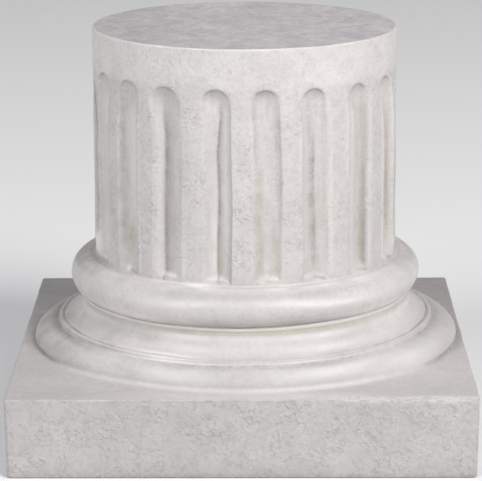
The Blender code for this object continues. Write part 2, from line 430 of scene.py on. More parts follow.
# ------------------------------------------------------- uneven surface
def normals(grid):
    """Normals of the grid of rings."""
    across = np.roll(grid, -1, axis=1) - np.roll(grid, 1, axis=1)
    down = np.empty_like(grid)
    down[1:-1] = grid[2:] - grid[:-2]
    down[0] = grid[1] - grid[0]
    down[-1] = grid[-1] - grid[-2]
    n = np.cross(down, across)
    length = np.linalg.norm(n, axis=2, keepdims=True)
    return n / np.maximum(length, 1e-12)


flat = P.reshape(-1, 3)
nrm = normals(P).reshape(-1, 3)
part_flat = np.repeat(part_of, NC)
swell = (0.00030 * noise(flat, 0.034, 1) + 0.00016 * noise(flat, 0.014, 2)
         + 0.00009 * noise(flat, 0.0065, 3))
chisel = 0.00013 * noise(flat, (0.007, 0.007, 0.060), 4)
amount = np.ones(len(flat))
amount[np.isin(part_flat, ("side", "edge", "lowedge", "ground"))] = 0.75
amount[np.isin(part_flat, ("top", "rim"))] = 0.5
amount[part_flat == "under"] = 0.0
swell = np.where(part_flat == "side", swell - 0.00016, swell)
amount[part_flat == "lowedge"] = 0.2
amount = amount * (1 - 0.45 * smooth(0.05, 0.5, DEPTH.reshape(-1)))
move = swell * amount + chisel * smooth(0.05, 0.3, DEPTH.reshape(-1))
flat = flat + nrm * move[:, None]
half = SIDE / 2
flat[:, 0] = np.clip(flat[:, 0], -half, half)
flat[:, 1] = np.clip(flat[:, 1], -half, half)
flat[:, 2] = np.clip(flat[:, 2], 0.0, HEIGHT)
flat[part_flat == "under", 2] = 0.0

# ------------------------------------------------- marks for the finish
X, Y, Z = flat[:, 0], flat[:, 1], flat[:, 2]
depth = DEPTH.reshape(-1)
u = U.reshape(-1)
kf = KF.reshape(-1)
azs = AZG.reshape(-1)
radial = np.hypot(X - COLUMN_X, Y - COLUMN_Y)
in_flute = smooth(0.06, 0.35, depth)


def place(*names):
    return mask(*names).reshape(-1)


# dark marks hold washes and painted shade, pale marks hold wear and painted highlights
dirt_and_shade = np.zeros(len(flat))
olive = np.zeros(len(flat))
warm = np.zeros(len(flat))
wear_and_highlight = np.zeros(len(flat))

# washes in the flutes: (flute, middle across, width across, low end, high end,
# strength) for the grey-brown wash, the olive stain and the rusty one
BANDS = [
    (15, 0.95, 0.20, 0.205, 0.262, 0.20),
    (16, -0.66, 0.38, 0.150, 0.268, 0.50), (16, 0.45, 0.20, 0.134, 0.170, 0.20),
    (17, 0.15, 0.35, 0.140, 0.262, 0.16), (18, -0.55, 0.34, 0.134, 0.262, 0.12),
    (0, 0.72, 0.26, 0.190, 0.262, 0.30), (1, 0.05, 0.24, 0.136, 0.165, 0.40), (0, -0.58, 0.20, 0.135, 0.225, 0.38),
    (0, -0.78, 0.20, 0.220, 0.268, 0.42), (1, -0.08, 0.20, 0.150, 0.240, 0.95), (1, -0.05, 0.22, 0.158, 0.186, 1.05),
    (1, -0.30, 0.24, 0.236, 0.268, 0.40), (2, 0.66, 0.20, 0.225, 0.266, 0.40),
    (3, 0.72, 0.17, 0.150, 0.242, 0.95), (2, 0.66, 0.20, 0.140, 0.200, 0.45),
]
STAINS = [
    (15, 0.00, 0.60, 0.168, 0.215, 0.30), (16, 0.06, 0.42, 0.148, 0.168, 1.80),
    (16, -0.20, 0.40, 0.165, 0.215, 0.35), (17, 0.10, 0.30, 0.150, 0.230, 0.22),
    (18, 0.35, 0.34, 0.130, 0.162, 0.75), (0, 0.66, 0.30, 0.131, 0.168, 1.10),
    (0, -0.55, 0.30, 0.134, 0.220, 0.75), (1, -0.05, 0.30, 0.160, 0.200, 0.65), (1, 0.60, 0.34, 0.172, 0.200, 0.60),
    (1, 0.40, 0.30, 0.132, 0.155, 0.35), (1, -0.10, 0.35, 0.158, 0.180, 0.45),
    (2, 0.66, 0.20, 0.134, 0.208, 0.80), (3, 0.72, 0.20, 0.140, 0.185, 1.00),
    (3, 0.30, 0.45, 0.232, 0.262, 0.40),
]
RUSTS = [(2, 0.72, 0.19, 0.222, 0.260, 0.80), (3, 0.74, 0.15, 0.190, 0.240, 0.95),
         (8, -0.30, 0.25, 0.200, 0.245, 0.40)]
# dark line where two strokes of the cutter meet, sharp on one side and fading on
# the other: (flute, place across, side it fades to, reach, low end, high end,
# strength)
LINES = {17: (-0.25, 1, 0.62, 0.128, 0.256, 1.00), 18: (0.02, 1, 0.52, 0.130, 0.262, 1.10),
         1: (0.12, -1, 0.50, 0.140, 0.236, 0.40), 2: (0.88, -1, 0.42, 0.131, 0.214, 0.72), 0: (1.00, -1, 0.42, 0.178, 0.262, 0.36),
         15: (0.90, -1, 0.60, 0.200, 0.262, 0.20)}
# thin dark line along the right-hand arris: (low end, high end, strength)
THIN = {15: (0.205, 0.277, 0.95), 17: (0.172, 0.240, 0.22), 18: (0.128, 0.272, 0.24),
        0: (0.165, 0.250, 0.08), 1: (0.150, 0.190, 0.20)}
for k in range(4, 15):                       # the sides and the back, in keeping
    BANDS.append((k, rng.uniform(-0.6, 0.6), rng.uniform(0.18, 0.40),
                  rng.uniform(0.132, 0.170), rng.uniform(0.220, 0.268),
                  rng.uniform(0.20, 0.50)))
    STAINS.append((k, rng.uniform(-0.5, 0.6), rng.uniform(0.25, 0.45),
                   rng.uniform(0.130, 0.150), rng.uniform(0.165, 0.215),
                   rng.uniform(0.15, 0.65)))
    if rng.random() < 0.55:
        LINES[k] = (rng.uniform(-0.3, 0.3), rng.choice([-1, 1]), rng.uniform(0.6, 0.9),
                    rng.uniform(0.128, 0.140), rng.uniform(0.225, 0.256),
                    rng.uniform(0.3, 0.85))
    if rng.random() < 0.5:
        THIN[k] = (rng.uniform(0.128, 0.170), rng.uniform(0.225, 0.256),
                   rng.uniform(0.3, 0.7))


def run_between(low, high, fade_low, fade_high):
    """1 between two heights, fading at both ends."""
    return smooth(low - fade_low, low + fade_low, Z) * smooth(
        high + fade_high * 0.6, high - fade_high, Z)


def in_flute_mark(target, table):
    for k, mid, wide, low, high, strength in table:
        v = strength * bump(mid, wide, u) * run_between(low, high, 0.010, 0.016)
        target = np.where((kf == k) & (depth > 0.01), np.maximum(target, v), target)
    return target


dirt_and_shade = in_flute_mark(dirt_and_shade, BANDS)
olive = in_flute_mark(olive, STAINS)
warm = in_flute_mark(warm, RUSTS)
line = np.full(len(flat), -3.0)              # distance from the dark line, in reaches
line_s = np.zeros(len(flat))
head = np.maximum(Z - (CROWN[kf] - HALF[kf] * shaft_radius(Z)), 0.0) / (
    HALF[kf] * shaft_radius(Z))
rho = np.sqrt(np.clip(u, -3, 3) ** 2 + head ** 2)
thin = np.clip((rho - 0.97) / 0.075, -4, 4)  # distance from the right-hand arris
thin_s = np.zeros(len(flat))
for k, (at, sign, reach, low, high, strength) in LINES.items():
    here = (kf == k) & (place("shaft") > 0)
    lift = 0.26 * smooth(0.225, 0.258, Z) if k == 18 else 0.0
    wander = 0.020 * np.sin(Z * 75.0 + k) + 0.008 * np.sin(Z * 310.0 + 2 * k)
    line = np.where(here, np.clip(sign * (u - at - lift - wander) / reach, -3, 3), line)
    line_s = np.where(here & (np.abs(u) < 1.12),
                      strength * run_between(low, high, 0.005, 0.014), line_s)
for k, (low, high, strength) in THIN.items():
    here = (kf == k) & (place("shaft") > 0) & (u > 0.3) & (u < 1.4)
    thin_s = np.where(here, strength * run_between(low, high, 0.006, 0.010), thin_s)

# worn arrises, and paler walls next to the lines, partly painted light on the walls turned to the lamps
wear = bump(1.14, 0.12, np.abs(u)) * place("shaft") * run_between(0.131, 0.268, 0.004, 0.006)
wear_and_highlight = np.maximum(wear_and_highlight, wear * np.clip(-0.02 + 0.70 * noise(flat, (0.02, 0.02, 0.045), 35), 0, 0.4))
PALE = [(17, -0.45, 0.20, 0.131, 0.262, 0.08), (18, -0.30, 0.15, 0.134, 0.190, 0.55),
        (3, -1.00, 0.17, 0.134, 0.250, 0.90), (15, 0.42, 0.26, 0.134, 0.162, 0.60), (15, -1.05, 0.20, 0.1345, 0.156, 0.80),
        (18, 0.72, 0.17, 0.131, 0.262, 0.55), (16, 0.55, 0.50, 0.165, 0.262, 0.50),
        (15, 0.05, 0.60, 0.138, 0.262, 0.36), (15, 0.10, 0.60, 0.236, 0.266, 0.70), (1, -0.75, 0.22, 0.134, 0.262, 0.15),
        (1, 1.25, 0.10, 0.134, 0.262, 0.45), (2, -0.55, 0.30, 0.134, 0.262, 0.34),
        (2, 1.20, 0.14, 0.134, 0.262, 0.52), (3, -0.20, 0.36, 0.134, 0.262, 0.88),
        (3, 1.18, 0.22, 0.134, 0.262, 0.80)]
for k, mid, wide, low, high, strength in PALE:
    v = strength * bump(mid, wide, u) * run_between(low, high, 0.004, 0.014) * place("shaft")
    wear_and_highlight = np.where(kf == k, np.maximum(wear_and_highlight, v), wear_and_highlight)

# one narrow hollow far round the left has a dark line down its middle
along = radians(-73.1) - radians(2.9) * smooth(0.235, 0.258, Z) - radians(4.5) * smooth(0.256, 0.271, Z)
dirt_and_shade = np.maximum(dirt_and_shade, 0.95 * place("shaft") * bump(along, radians(1.0), azs)
                  * run_between(0.150, 0.270, 0.008, 0.004))
near_line = (np.abs(azs - along) < radians(3.0)) & (place("shaft") > 0)
thin = np.where(near_line, (azs - along) / radians(0.95), thin)
thin_s = np.where(near_line, 0.80 * run_between(0.222, 0.270, 0.012, 0.004), thin_s)
# painted highlight on the upturned stop at the foot of that hollow
lit_end = place("shaft") * bump(radians(-75.0), radians(2.8), azs) \
    * run_between(0.1345, 0.1500, 0.001, 0.007)
wear_and_highlight = np.maximum(wear_and_highlight, lit_end)
lit = 1 + 0.16 * lit_end

# shade under the crown of each head
arch = bump(0.93, 0.085, rho) * smooth(0.35, 0.85, head) * place("shaft") * (np.abs(u) < 1.2)
arch = arch * np.select([kf == 17, kf == 15], [smooth(-0.60, -0.20, u), 1.3], 1.0)
crest = (place("shaft") > 0) & (head > 0.05) & (np.abs(u) < 1.3) & (azs > radians(-71))
thin_s = np.where(crest, np.maximum(thin_s, np.where(kf == 15, 0.85, 0.34) * smooth(0.45, 0.80, head)
                                    * smooth(-0.75, -0.25, u)), thin_s)
dirt_and_shade = np.maximum(dirt_and_shade, 0.75 * arch)
hollow = smooth(0.0, 0.7, head) * smooth(1.0, 0.75, rho) * place("shaft")
dirt_and_shade = np.maximum(dirt_and_shade, 0.22 * hollow)
# darker deep in the hollows: wash and painted shade
dirt_and_shade = np.maximum(dirt_and_shade, 0.10 * smooth(0.5, 1.0, depth) * place("shaft"))

# feet of the lands and of the stops, rubbed pale
onward = 0.0008 * smooth(0.5, 0.1, np.abs(azs))      # the line lies lower at the front
foot = 0.35 * smooth(0.1, 0.5, np.abs(azs)) * place("shaft") * smooth(0.1306, 0.1292, Z) \
    + place("foot", "torus") * smooth(0.1252 + onward, 0.1226 + onward, radial) \
    * smooth(0.1200, 0.1230, Z)
ahead = smooth(0.95, 0.70, np.abs(azs))
foot = foot * (1 - 0.55 * ahead)
# painted highlight along the torus top at the front
wear_and_highlight = np.maximum(wear_and_highlight, place("torus") * bump(0.1236, 0.0028, radial) * smooth(0.1190, 0.1215, Z) * ahead
                 * np.clip(0.42 + 0.45 * bump(0.0, 0.35, azs) + 0.80 * noise(flat, 0.013, 36), 0.10, 1.0)
                 * (1 - 0.95 * smooth(-0.32, -0.58, azs)))
wear_and_highlight = np.maximum(wear_and_highlight, foot * np.clip(0.52 + 0.85 * noise(flat, 0.011, 31), 0.0, 1.0)
                 * (0.20 + 0.80 * smooth(0.95, 0.6, azs) * smooth(-0.95, -0.42, azs)))
foot_line = bump(-0.29, 0.11, azs) * np.clip(place("shaft") * smooth(0.1306, 0.1292, Z) + place("foot")
                                             + place("torus") * smooth(0.1242, 0.1218, radial)
                                             * smooth(0.1200, 0.1230, Z), 0, 1)
wear_and_highlight = np.maximum(wear_and_highlight, 0.95 * foot_line)
# small pale lumps of slip left at single flute feet: azimuth, height, radius
drips = np.zeros(len(flat))
# under: painted shadow just below each lump
under = np.zeros(len(flat))
for at, level_z, wide in [(-1.083, 0.1342, 0.0020), (-0.843, 0.1321, 0.0027), (-0.457, 0.1343, 0.0021)]:
    along = (azs - at) * 0.1175
    drips = np.maximum(drips, np.exp(-(along ** 2 + (Z - level_z) ** 2) / wide ** 2))
    under = np.maximum(under, np.exp(-(along ** 2 + (Z - level_z + 1.3 * wide) ** 2) / wide ** 2))
drips = drips * place("shaft", "foot", "torus") * (radial < 0.123)
under = under * place("shaft", "foot", "torus") * (radial < 0.125) * (1 - drips)
wear_and_highlight = np.maximum(wear_and_highlight, 0.90 * drips)
# the upturned stops: pale paint and painted highlight
ends = place("shaft") * bump(0.1325, 0.0020, Z) * smooth(0.1, 0.5, depth)
more = np.select([kf == 15, kf == 16, kf == 17, kf == 0], [0.75, 0.55, 0.25, 0.45], 0.05)
wear_and_highlight = np.maximum(wear_and_highlight, ends * np.clip(more + 1.0 * noise(flat, 0.009, 32), 0, 0.9))
# dark crescent low in the right half of each hollow
crescent = place("shaft") * bump(0.1316, 0.0008, Z + 0.0022 * np.clip(u, -1, 1) ** 2) \
    * smooth(-0.35, 0.05, u) * smooth(1.0, 0.75, u)
dirt_and_shade = np.maximum(dirt_and_shade, crescent * 0.75)
# darker on the drum foot and torus top far round the left: wash and painted shade
far_left = smooth(-0.92, -1.15, azs) * smooth(-2.2, -1.8, azs) * place("shaft", "foot", "torus") \
    * smooth(0.1332, 0.1302, Z) * smooth(0.1205, 0.1235, Z)
dirt_and_shade = np.maximum(dirt_and_shade, 0.55 * far_left)
olive = np.maximum(olive, 0.35 * far_left)
# painted shade on the torus top close behind the drum, left and right
dirt_and_shade = np.maximum(dirt_and_shade, 0.55 * place("torus") * bump(-1.20, 0.12, azs) * smooth(0.1298, 0.1278, radial)
                  * smooth(0.1205, 0.1240, Z))
dirt_and_shade = np.maximum(dirt_and_shade, 0.26 * place("torus") * bump(1.38, 0.16, azs) * smooth(0.1225, 0.1250, Z))
dirt_and_shade = np.maximum(dirt_and_shade, 0.32 * place("torus") * bump(1.22, 0.12, azs) * bump(0.1248, 0.0030, radial)
                  * smooth(0.1205, 0.1240, Z))

# mouldings
turned = np.abs(azs)
front_lit = smooth(-0.2, 0.5, np.cos(azs))
toward_sides = smooth(0.70, 1.20, turned)
torus = place("torus")
# painted shade under the torus, strongest at the front, with olive patina
under = torus * smooth(0.1065, 0.0990, Z)
dirt_and_shade = np.maximum(dirt_and_shade, under * (0.02 + 0.16 * smooth(0.80, 0.98, np.cos(azs))))
olive = np.maximum(olive, torus * smooth(0.1050, 0.0990, Z)
                   * (0.12 + 0.45 * smooth(0.70, 0.95, np.cos(azs))))
highlight_patches = bump(0.44, 0.22, azs) + 0.75 * bump(-0.36, 0.17, azs)       # where the painted highlights lie, towards the two lamps
# painted highlight band along the torus, lower at the sides
level = 0.1193 - 0.0036 * smooth(0.05, 0.55, np.abs(azs))
wear_and_highlight = np.maximum(wear_and_highlight, torus * bump(0.0, 0.0025, Z - level) * (0.12 + 0.75 * highlight_patches
                 + 0.30 * bump(0.58, 0.22, azs)) * front_lit)
shade = (bump(0.1282, 0.0026, radial) * smooth(0.1200, 0.1230, Z) * (1 - ahead)
         + bump(0.1316, 0.0026, radial) * smooth(0.1130, 0.1160, Z) * ahead) * torus
dirt_and_shade = np.maximum(dirt_and_shade, shade * (0.05 + 0.16 * ahead + 0.24 * smooth(0.75, 1.25, turned)))
olive = np.maximum(olive, shade * (0.16 + 0.20 * smooth(0.75, 1.25, turned)))
wear_and_highlight = np.maximum(wear_and_highlight, place("ledge") * 0.62)
fillet = np.clip(place("fillet") + place("scotia") * smooth(0.0924, 0.0943, Z), 0, 1)
yellow = fillet * (0.45 + 0.65 * bump(0.30, 0.45, azs))
yellow = np.maximum(yellow, place("ledge") * 0.75 * bump(-0.10, 0.50, azs))
# painted shade on the fillet below the ledge, strongest at the front
dirt_and_shade = np.maximum(dirt_and_shade, fillet * (0.10 + 0.32 * smooth(0.75, 0.95, np.cos(azs))))
# painted highlights on the scotia, its lip, the ring and the lower round
wear_and_highlight = np.maximum(wear_and_highlight, place("scotia") * bump(0.0908, 0.0020, Z) * np.maximum(
    0.16 + 0.95 * highlight_patches, 0.50 * bump(0.0, 0.34, azs)))
lip_lit = bump(-0.52, 0.20, azs)
wear_and_highlight = np.maximum(wear_and_highlight, place("scotia") * bump(0.0825, 0.0022, Z) * (0.16 + 0.85 * highlight_patches) * (1 - 0.7 * lip_lit))
wear_and_highlight = np.maximum(wear_and_highlight, place("scotia") * smooth(0.1355, 0.1385, radial) * 0.80 * lip_lit)
wear_and_highlight = np.maximum(wear_and_highlight, place("ring") * 0.62 * lip_lit)
wear_and_highlight = np.maximum(wear_and_highlight, place("round") * bump(0.1548, 0.0026, radial) * 0.80 * highlight_patches)
wear_and_highlight = np.maximum(wear_and_highlight, place("round") * smooth(0.1530, 0.1600, radial) * 0.40 * bump(0.86, 0.20, azs))
# painted shade and wash in the groove above the ring, more towards the sides
groove = place("groove")
broken_groove = np.clip(0.75 + 0.9 * noise(flat, (0.02, 0.02, 0.2), 37), 0.1, 1.0)
dirt_and_shade = np.maximum(dirt_and_shade, groove * (0.02 + 1.10 * smooth(0.62, 0.88, turned)) * broken_groove)
# painted shade and wash in the recess below the ring
recess = place("recess")
dirt_and_shade = np.maximum(dirt_and_shade, recess * (1 - 0.65 * bump(-0.58, 0.28, azs)) * (1 - 0.30 * bump(-0.86, 0.14, azs)) * (0.62 - 0.50 * smooth(0.55, 0.80, turned)
                                  + 0.45 * smooth(0.98, 1.20, turned)))
# painted shade and olive wash on the round next to the ring, at the sides and more on the left
near_ring = place("round") * smooth(0.1550, 0.1475, radial)
leftward = smooth(0.4, -0.4, azs)
dirt_and_shade = np.maximum(dirt_and_shade, near_ring * toward_sides * (0.34 + 0.44 * leftward))
olive = np.maximum(olive, near_ring * toward_sides * (0.20 + 0.50 * leftward))
# painted shadow in the crease at the foot of the round, at the sides and back
crease = place("crease")
dirt_and_shade = np.maximum(dirt_and_shade, crease * smooth(0.84, 1.22, turned) * 0.80)
out_from_crease = radial - (ROUND_R - 0.0072 * smooth(0.45, 0.95, np.cos(azs)))
soft_line = bump(0.0020, 0.0026, out_from_crease) * place("crease", "ground")
wear_and_highlight = np.maximum(wear_and_highlight, soft_line * (0.09 * smooth(0.98, 0.85, turned)
                                   + 0.17 * smooth(0.70, 0.45, turned) + 0.26 * bump(0.42, 0.28, azs)))

# patchy wash over the scotia and the lower round, more of it on the left
patchy = np.clip(1.5 * noise(flat, (0.017, 0.017, 0.005), 41) - 0.12, 0, 0.6) \
    * place("scotia", "round", "ring", "groove") * (0.30 + 0.70 * smooth(0.1, -0.7, azs)) \
    * smooth(-2.9, -2.0, azs)
dirt_and_shade = np.maximum(dirt_and_shade, 0.30 * patchy)
olive = np.maximum(olive, 0.50 * patchy)

# rim of the round top and edges of the plinth: pale wear, as painted highlight towards the front and the right, and
# painted shade on the rim at the sides and back
rim = place("rim")
broken_rim = np.clip(0.55 + 0.65 * noise(flat, 0.020, 33), 0, 1)
upper = smooth(HEIGHT - SKIN - RIM, HEIGHT - SKIN - RIM * 0.5, Z)
wear_and_highlight = np.maximum(wear_and_highlight, rim * upper * (0.03 + 0.86 * smooth(1.05, 0.35, turned) * broken_rim))
dirt_and_shade = np.maximum(dirt_and_shade, rim * smooth(1.3, 1.7, turned) * 0.18)
edge = place("edge")
wear_and_highlight = np.maximum(wear_and_highlight, edge * np.clip(0.20 + 0.50 * smooth(0.02, 0.09, X) + 0.90 * noise(flat, (0.011, 0.011, 0.1), 34), 0.0, 0.95))
side = place("side")
# painted shade along the foot of the plinth sides
dirt_and_shade = np.maximum(dirt_and_shade, side * smooth(0.0042, 0.0008, Z) * 0.45)
ground = place("ground")
# painted highlight on the front edge and edge strip of the plinth top, on the right
front_edge = (side * smooth(0.0572, 0.0582, Z) + ground * smooth(-0.1610, -0.1650, Y)) \
    * smooth(-0.1400, -0.1500, Y) * smooth(0.02, 0.09, X)
wear_and_highlight = np.maximum(wear_and_highlight, 0.90 * front_edge)

# painted light and shade multiplied into the colour: lighter where the lamps fall, darker in shade, at the back and
# on the plinth sides; the band is the whitest, the plinth greyer
dirt_and_shade = dirt_and_shade * (1 - 0.85 * drips) * (1 - 0.40 * bump(-1.06, 0.12, azs) * place("shaft", "foot", "torus")
                                    * (radial < 0.1235) * smooth(0.1400, 0.1370, Z))
painted_light_shade = np.ones(len(flat)) * lit
band = place("shaft", "rim") * smooth(0.2715, 0.2790, Z)
painted_light_shade = painted_light_shade * (1 + band * (0.020 + 0.09 * np.abs(np.sin(azs)) + 0.035 * smooth(-0.3, -1.0, azs)))
painted_light_shade = painted_light_shade * (1 - place("side", "lowedge", "edge") * (0.185 + 0.06 * smooth(0.016, 0.002, Z)))
back = smooth(-0.10, 0.15, Y)
painted_light_shade = painted_light_shade * (1 - ground * 0.05)
painted_light_shade = painted_light_shade * (1 + 0.060 * ground * bump(0.182, 0.016, radial) * smooth(0.48, 0.62, np.abs(azs))
               * smooth(1.10, 0.85, np.abs(azs)))
# painted shadow on the plinth top behind the column
painted_light_shade = painted_light_shade * (1 - ground * 0.20 * back * smooth(0.06, 0.14, np.abs(X)))
# painted shade on the plinth top beside the lower round at the sides
beside = ground * smooth(0.0125, 0.0, radial - ROUND_R) * smooth(1.15, 1.5, turned)
painted_light_shade = painted_light_shade * (1 - 0.20 * beside)
# painted light on the right of the mouldings and the plinth top
rightward = smooth(0.35, 1.10, azs) * smooth(2.9, 2.2, azs)
painted_light_shade = painted_light_shade * (1 + 0.07 * rightward * place("torus", "round", "ring", "ground", "scotia"))
painted_light_shade = painted_light_shade * (1 + 0.20 * torus * smooth(0.1100, 0.1010, Z) * smooth(0.45, 0.80, turned))
painted_light_shade = painted_light_shade * (1 - 0.030 * place("shaft") * smooth(0.205, 0.180, Z) * smooth(0.145, 0.160, Z))
painted_light_shade = painted_light_shade * (1 + torus * smooth(0.80, 0.98, np.cos(azs)) * (0.072 * bump(0.1192, 0.0032, Z) - 0.045))
painted_light_shade = painted_light_shade * (1 - 0.065 * place("round") * smooth(0.80, 0.98, np.cos(azs)))
painted_light_shade = painted_light_shade * (1 - 0.040 * place("scotia", "round") * smooth(-0.3, 0.3, azs))
painted_light_shade = painted_light_shade * (1 - 0.045 * place("shaft") * smooth(radians(-56), radians(-62), azs)
               * smooth(radians(-100), radians(-80), azs) * smooth(0.2715, 0.262, Z))
painted_light_shade = painted_light_shade * (1 - 0.028 * place("side") * smooth(0.12, 0.02, X) * smooth(0.0, -0.1, Y))
painted_light_shade = painted_light_shade * (1 + 0.05 * torus * leftward * smooth(0.35, 0.70, turned))
painted_light_shade = painted_light_shade * (1 - 0.07 * ground * smooth(0.02, -0.08, Y) * smooth(0.06, 0.12, np.abs(X))
                * (1 - 0.3 * smooth(0.10, 0.16, X)))
painted_light_shade = painted_light_shade * (1 - 0.07 * ground * smooth(0.0, 0.10, Y) * smooth(0.06, 0.12, X))
painted_light_shade = painted_light_shade * (1 - 0.028 * place("shaft") * smooth(0.250, 0.235, Z) * (bump(radians(-39.5), radians(3.5), azs)
                                             + 0.8 * bump(radians(-21.0), radians(2.5), azs)))
painted_light_shade = painted_light_shade * (1 + 0.12 * place("scotia") * toward_sides)
painted_light_shade = painted_light_shade * (1 + 0.17 * torus * smooth(0.1110, 0.1010, Z) * bump(-0.55, 0.20, azs))
painted_light_shade = painted_light_shade * (1 + 0.10 * torus * smooth(0.1180, 0.1080, Z) * bump(-0.42, 0.20, azs))
painted_light_shade = painted_light_shade * (1 + 0.085 * place("scotia", "ring") * smooth(0.1345, 0.1380, radial) * bump(-0.36, 0.20, azs))
painted_light_shade = painted_light_shade * (1 + 0.060 * torus * smooth(0.1200, 0.1080, Z) * bump(-0.31, 0.10, azs))
painted_light_shade = painted_light_shade * (1 + 0.050 * place("scotia", "ring") * smooth(0.1345, 0.1380, radial) * bump(-0.36, 0.14, azs))
painted_light_shade = painted_light_shade * (1 + 0.06 * foot_line)
# painted light on the lumps of slip, painted shadow below them
painted_light_shade = painted_light_shade * (1 + 0.10 * drips - 0.05 * under)
painted_light_shade = painted_light_shade * (1 + 0.055 * torus * smooth(0.1180, 0.1080, Z) * bump(-0.82, 0.14, azs))
painted_light_shade = painted_light_shade * (1 + 0.060 * place("scotia", "ring") * smooth(0.1345, 0.1380, radial) * bump(0.34, 0.10, azs))
painted_light_shade = painted_light_shade * (1 + 0.080 * place("scotia", "ring") * smooth(0.1365, 0.1385, radial)
               * (bump(-0.36, 0.12, azs) + bump(0.34, 0.10, azs)))
painted_light_shade = painted_light_shade * (1 - 0.030 * place("scotia") * bump(0.0872, 0.0018, Z) * bump(-0.36, 0.18, azs))
painted_light_shade = painted_light_shade * (1 + 0.070 * place("scotia", "ledge") * smooth(0.0900, 0.0950, Z)
               * (bump(0.63, 0.12, azs) + bump(-0.86, 0.14, azs)))
painted_light_shade = painted_light_shade * (1 - 0.060 * torus * smooth(0.1225, 0.1250, Z) * bump(0.63, 0.10, azs))
painted_light_shade = painted_light_shade * (1 - 0.070 * torus * smooth(0.1240, 0.1215, radial) * bump(1.15, 0.16, azs))
painted_light_shade = painted_light_shade * (1 - 0.110 * place("torus", "foot") * bump(-0.96, 0.08, azs) * bump(0.1195, 0.0020, radial))
painted_light_shade = painted_light_shade * (1 + 0.070 * place("shaft", "foot") * bump(-0.99, 0.07, azs) * smooth(0.1370, 0.1340, Z))
painted_light_shade = painted_light_shade * (1 - 0.045 * place("shaft") * bump(0.414, 0.05, azs) * smooth(0.1480, 0.1430, Z))
# narrow strips of painted light (+) and painted shade (-) on the shaft: azimuth, width, low end, high end, change
for at, wide, low, high, change in [
        (13.2, 1.4, 0.172, 0.228, 0.060), (50.6, 1.5, 0.160, 0.210, 0.045), (-30.0, 1.2, 0.166, 0.192, 0.065),
        (62.2, 1.1, 0.158, 0.220, 0.065), (-22.4, 1.3, 0.168, 0.222, -0.055), (-13.9, 1.0, 0.172, 0.214, -0.045)]:
    painted_light_shade = painted_light_shade * (1 + change * place("shaft") * bump(radians(at), radians(wide), azs)
                   * smooth(low - 0.008, low + 0.008, Z) * smooth(high + 0.008, high - 0.008, Z))
painted_light_shade = painted_light_shade * (1 - place("shaft") * (0.040 * bump(radians(-55.5), radians(2.6), azs) + 0.022 * bump(0.0, radians(3.0), azs)
                                     + 0.022 * bump(radians(57.0), radians(3.0), azs)))
painted_light_shade = painted_light_shade * (1 + place("shaft") * smooth(radians(-57), radians(-61), azs) * smooth(radians(-100), radians(-85), azs)
               * (0.03 * smooth(0.250, 0.225, Z) + 0.05 * smooth(0.175, 0.160, Z)))
painted_light_shade = painted_light_shade * (1 + torus * smooth(0.1240, 0.1262, Z) * (0.05 - 0.10 * bump(-0.68, 0.26, azs)))
front_strip = ground * smooth(-0.145, -0.163, Y) * smooth(0.135, 0.07, np.abs(X)) * (1 - 0.6 * bump(-0.080, 0.035, X))
wear_and_highlight = np.maximum(wear_and_highlight, front_strip * 0.55)
# painted shade on the lower round far round the left
left_round = place("round", "crease") * smooth(-0.75, -1.25, azs) * smooth(-2.4, -2.0, azs)
painted_light_shade = painted_light_shade * (1 - 0.11 * left_round)

# pale wear and painted highlights laid evenly, without grain
even = np.clip(soft_line * 3, 0, 1) + 0.8 * np.clip(foot, 0, 1) + place("ledge") + lit_end \
    + 0.6 * place("scotia", "round") * (radial < 0.1600) + 0.5 * torus

# where the marks of the brush run: down the flutes, across the round top
streak = np.clip(in_flute * place("shaft") + 0.08 * place("torus", "round", "scotia"), 0, 1)
gloss = place("torus", "round", "scotia", "ring", "groove", "fillet", "ledge", "recess")
gloss = np.maximum(gloss, 0.9 * place("foot", "crease"))
gloss = np.maximum(gloss, 0.8 * ground * smooth(0.0100, 0.0040, out_from_crease))
top = place("top")
# painted shade on the left of the round top
painted_light_shade = painted_light_shade * (1 - 0.095 * top * smooth(-0.02, -0.09, X))
stipple = np.clip(1.0 - 0.70 * in_flute * place("shaft")
                  - 0.78 * gloss - 0.75 * top - 0.60 * ground - 0.40 * band
                  - 0.45 * place("shaft") * smooth(0.150, 0.136, Z), 0.0, 1.0)

# --------------------------------------------------------------- the mesh
verts = [tuple(v) for v in flat]
top_i = len(verts)
verts.append((COLUMN_X, COLUMN_Y, float(flat[:NC, 2].mean())))
under_i = len(verts)
verts.append((0.0, 0.0, 0.0))
faces = []
for i in range(NC):
    j = (i + 1) % NC
    faces.append((top_i, i, j))
for r in range(NR - 1):
    a, b = r * NC, (r + 1) * NC
    for i in range(NC):
        j = (i + 1) % NC
        faces.append((a + i, b + i, b + j, a + j))
last = (NR - 1) * NC
for i in range(NC):
    j = (i + 1) % NC
    faces.append((under_i, last + j, last + i))

mesh = bpy.data.meshes.new("pedestal_casting")
mesh.from_pydata(verts, [], faces)
mesh.update()
for poly in mesh.polygons:
    poly.use_smooth = True
marks = {"dirt_and_shade": dirt_and_shade, "olive": olive, "warm": warm, "wear_and_highlight": wear_and_highlight, "painted_light_shade": painted_light_shade,
         "yellow": yellow, "even": np.clip(even, 0, 1), "slab": place("side", "edge"),
         "streak": streak, "topmark": top, "stipple": stipple, "gloss": gloss,
         "line": line, "line_s": line_s, "thin": thin, "thin_s": thin_s}
for name, values in marks.items():
    attr = mesh.attributes.new(name, "FLOAT", "POINT")
    poles = [values[:NC].mean(), values[-NC:].mean()]
    attr.data.foreach_set("value", np.concatenate([values, poles]).astype(np.float32))

casting = bpy.data.objects.new("pedestal_casting", mesh)
bpy.context.scene.collection.objects.link(casting)


